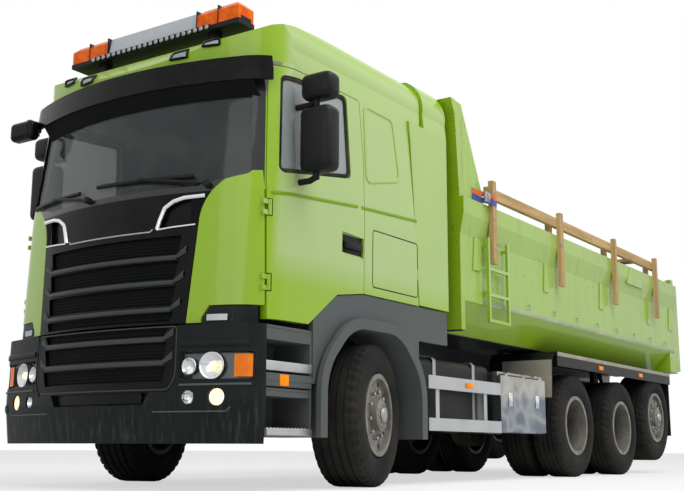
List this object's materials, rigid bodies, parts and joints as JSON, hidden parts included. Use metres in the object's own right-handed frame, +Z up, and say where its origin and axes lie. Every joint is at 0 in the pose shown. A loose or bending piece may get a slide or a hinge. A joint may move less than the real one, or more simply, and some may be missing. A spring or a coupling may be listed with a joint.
{
  "type": "forward-control tipper truck with a lift axle",
  "caption": "Forward-control tipper truck with a sleeper cab, a steel tipping bed raised by a front telescopic hoist, twin driven axles and a raised tag axle.",
  "frame": {"origin": "on the ground, midway along the overall length, on the centre line", "axes": "+X forward, +Y to the left, +Z up"},
  "size_m": [9.1183, 3, 3.38],
  "materials": {
    "body_paint": "glossy lime green paint",
    "dark_plastic": "grained dark grey moulding",
    "gloss_black": "glossy black grille panel",
    "glass": "tinted flat glass",
    "lamp_glass": "clear lamp cover",
    "amber": "amber warning lens",
    "frame_paint": "satin dark grey frame paint",
    "cast": "dull cast metal",
    "fabric": "dark woven upholstery",
    "aluminium": "plain drawn aluminium",
    "stainless": "polished stainless sheet",
    "rubber": "dull black mudguard",
    "timber": "rough sawn softwood",
    "chrome": "hard chromed tube",
    "tyre": "worn dusty black tyre",
    "rim": "silver painted steel wheel"
  },
  "bodies": {
    "chassis": {"air_deflectors": "body_paint", "beacon_lenses": "amber", "cab_body": "body_paint", "cab_roof": "body_paint", "cab_steps": "dark_plastic", "chassis_frame": "frame_paint", "corner_panels": "body_paint", "dashboard": "dark_plastic", "drive_axles": "cast", "engine": "cast", "front_axle": "cast", "front_bumper": "dark_plastic", "front_mudguards": "dark_plastic", "grille_panel": "gloss_black", "headlamps": "lamp_glass", "light_bar": "frame_paint", "lower_grille": "dark_plastic", "rear_mudguards": "rubber", "seats": "fabric", "side_guards": "aluminium", "springs": "frame_paint", "sun_visor": "dark_plastic", "tag_axle": "cast", "tanks": "aluminium", "tipper_subframe": "frame_paint", "toolbox": "stainless", "windscreen": "glass"},
    "left_knuckle": {"left_knuckle": "frame_paint"},
    "right_knuckle": {"right_knuckle": "frame_paint"},
    "left_door": {"left_door": "body_paint", "left_door_glass": "glass", "left_mirror": "dark_plastic"},
    "right_door": {"right_door": "body_paint", "right_door_glass": "glass", "right_mirror": "dark_plastic"},
    "bed": {"bed_tub": "body_paint", "bed_ladder": "aluminium", "timber_rails": "timber"},
    "tailgate": {"tailgate": "body_paint"},
    "hoist_barrel": {"hoist_barrel": "frame_paint"},
    "hoist_stage_1": {"hoist_stage_1": "chrome"},
    "hoist_stage_2": {"hoist_stage_2": "chrome"},
    "hoist_stage_3": {"hoist_stage_3": "chrome"},
    "toolbox_lid": {"toolbox_lid": "stainless"},
    "front_left_wheel": {"front_left_tyre": "tyre", "front_left_wheel": "rim"},
    "front_right_wheel": {"front_right_tyre": "tyre", "front_right_wheel": "rim"},
    "drive_1_left_wheel": {"drive_1_left_tyre": "tyre", "drive_1_left_wheel": "rim"},
    "drive_1_right_wheel": {"drive_1_right_tyre": "tyre", "drive_1_right_wheel": "rim"},
    "drive_2_left_wheel": {"drive_2_left_tyre": "tyre", "drive_2_left_wheel": "rim"},
    "drive_2_right_wheel": {"drive_2_right_tyre": "tyre", "drive_2_right_wheel": "rim"},
    "tag_left_wheel": {"tag_left_tyre": "tyre", "tag_left_wheel": "rim"},
    "tag_right_wheel": {"tag_right_tyre": "tyre", "tag_right_wheel": "rim"}
  },
  "joints": [
    {"name": "left_steer", "type": "hinge", "parent": "chassis", "child": "left_knuckle", "pos_m": [3, 0.925, 0.515], "axis": [0, 0, 1], "range_deg": [-51, 25]},
    {"name": "right_steer", "type": "hinge", "parent": "chassis", "child": "right_knuckle", "pos_m": [3, -0.925, 0.515], "axis": [0, 0, 1], "range_deg": [-51, 25]},
    {"name": "front_left_roll", "type": "hinge", "parent": "left_knuckle", "child": "front_left_wheel", "pos_m": [2.97019, 1.0541, 0.515], "axis": [-0.225, 0.9744, 0], "continuous": true},
    {"name": "front_right_roll", "type": "hinge", "parent": "right_knuckle", "child": "front_right_wheel", "pos_m": [3.02981, -1.0541, 0.515], "axis": [-0.225, 0.9744, 0], "continuous": true},
    {"name": "drive_1_left_roll", "type": "hinge", "parent": "chassis", "child": "drive_1_left_wheel", "pos_m": [-0.85, 1.094, 0.515], "axis": [0, 1, 0], "continuous": true},
    {"name": "drive_1_right_roll", "type": "hinge", "parent": "chassis", "child": "drive_1_right_wheel", "pos_m": [-0.85, -1.094, 0.515], "axis": [0, 1, 0], "continuous": true},
    {"name": "drive_2_left_roll", "type": "hinge", "parent": "chassis", "child": "drive_2_left_wheel", "pos_m": [-2.21, 1.094, 0.515], "axis": [0, 1, 0], "continuous": true},
    {"name": "drive_2_right_roll", "type": "hinge", "parent": "chassis", "child": "drive_2_right_wheel", "pos_m": [-2.21, -1.094, 0.515], "axis": [0, 1, 0], "continuous": true},
    {"name": "tag_left_roll", "type": "hinge", "parent": "chassis", "child": "tag_left_wheel", "pos_m": [-3.46, 1.0575, 0.665], "axis": [0, 1, 0], "continuous": true},
    {"name": "tag_right_roll", "type": "hinge", "parent": "chassis", "child": "tag_right_wheel", "pos_m": [-3.46, -1.0575, 0.665], "axis": [0, 1, 0], "continuous": true},
    {"name": "left_door_swing", "type": "hinge", "parent": "chassis", "child": "left_door", "pos_m": [4.18, 1.162, 1.58], "axis": [0, 0, -1], "range_deg": [0, 75]},
    {"name": "right_door_swing", "type": "hinge", "parent": "chassis", "child": "right_door", "pos_m": [4.18, -1.162, 1.58], "axis": [0, 0, 1], "range_deg": [0, 75]},
    {"name": "bed_tip", "type": "hinge", "parent": "chassis", "child": "bed", "pos_m": [-3.95, 0, 1.1], "axis": [0, -1, 0], "range_deg": [0, 45]},
    {"name": "tailgate_swing", "type": "hinge", "parent": "bed", "child": "tailgate", "pos_m": [-4.35, 0, 2.458], "axis": [0, 1, 0], "range_deg": [0, 70]},
    {"name": "hoist_swing", "type": "hinge", "parent": "chassis", "child": "hoist_barrel", "pos_m": [2.02, 0, 1], "axis": [0, -1, 0], "range_deg": [0, 25]},
    {"name": "hoist_slide_1", "type": "slide", "parent": "hoist_barrel", "child": "hoist_stage_1", "axis": [-0.094, 0, 0.9956], "range_m": [0, 1.49]},
    {"name": "hoist_slide_2", "type": "slide", "parent": "hoist_stage_1", "child": "hoist_stage_2", "axis": [-0.094, 0, 0.9956], "range_m": [0, 1.49]},
    {"name": "hoist_slide_3", "type": "slide", "parent": "hoist_stage_2", "child": "hoist_stage_3", "axis": [-0.094, 0, 0.9956], "range_m": [0, 1.49]},
    {"name": "toolbox_lid_swing", "type": "hinge", "parent": "chassis", "child": "toolbox_lid", "pos_m": [0.39, 1.212, 0.94], "axis": [1, 0, 0], "range_deg": [0, 100]}
  ],
  "couplings": [
    {"joint": "right_steer", "follows": "left_steer", "ratio": 1},
    {"joint": "hoist_swing", "follows": "bed_tip", "ratio": 0.5418},
    {"joint": "hoist_slide_1", "follows": "bed_tip", "m_per_rad": 1.8937},
    {"joint": "hoist_slide_2", "follows": "bed_tip", "m_per_rad": 1.8937},
    {"joint": "hoist_slide_3", "follows": "bed_tip", "m_per_rad": 1.8937}
  ]
}
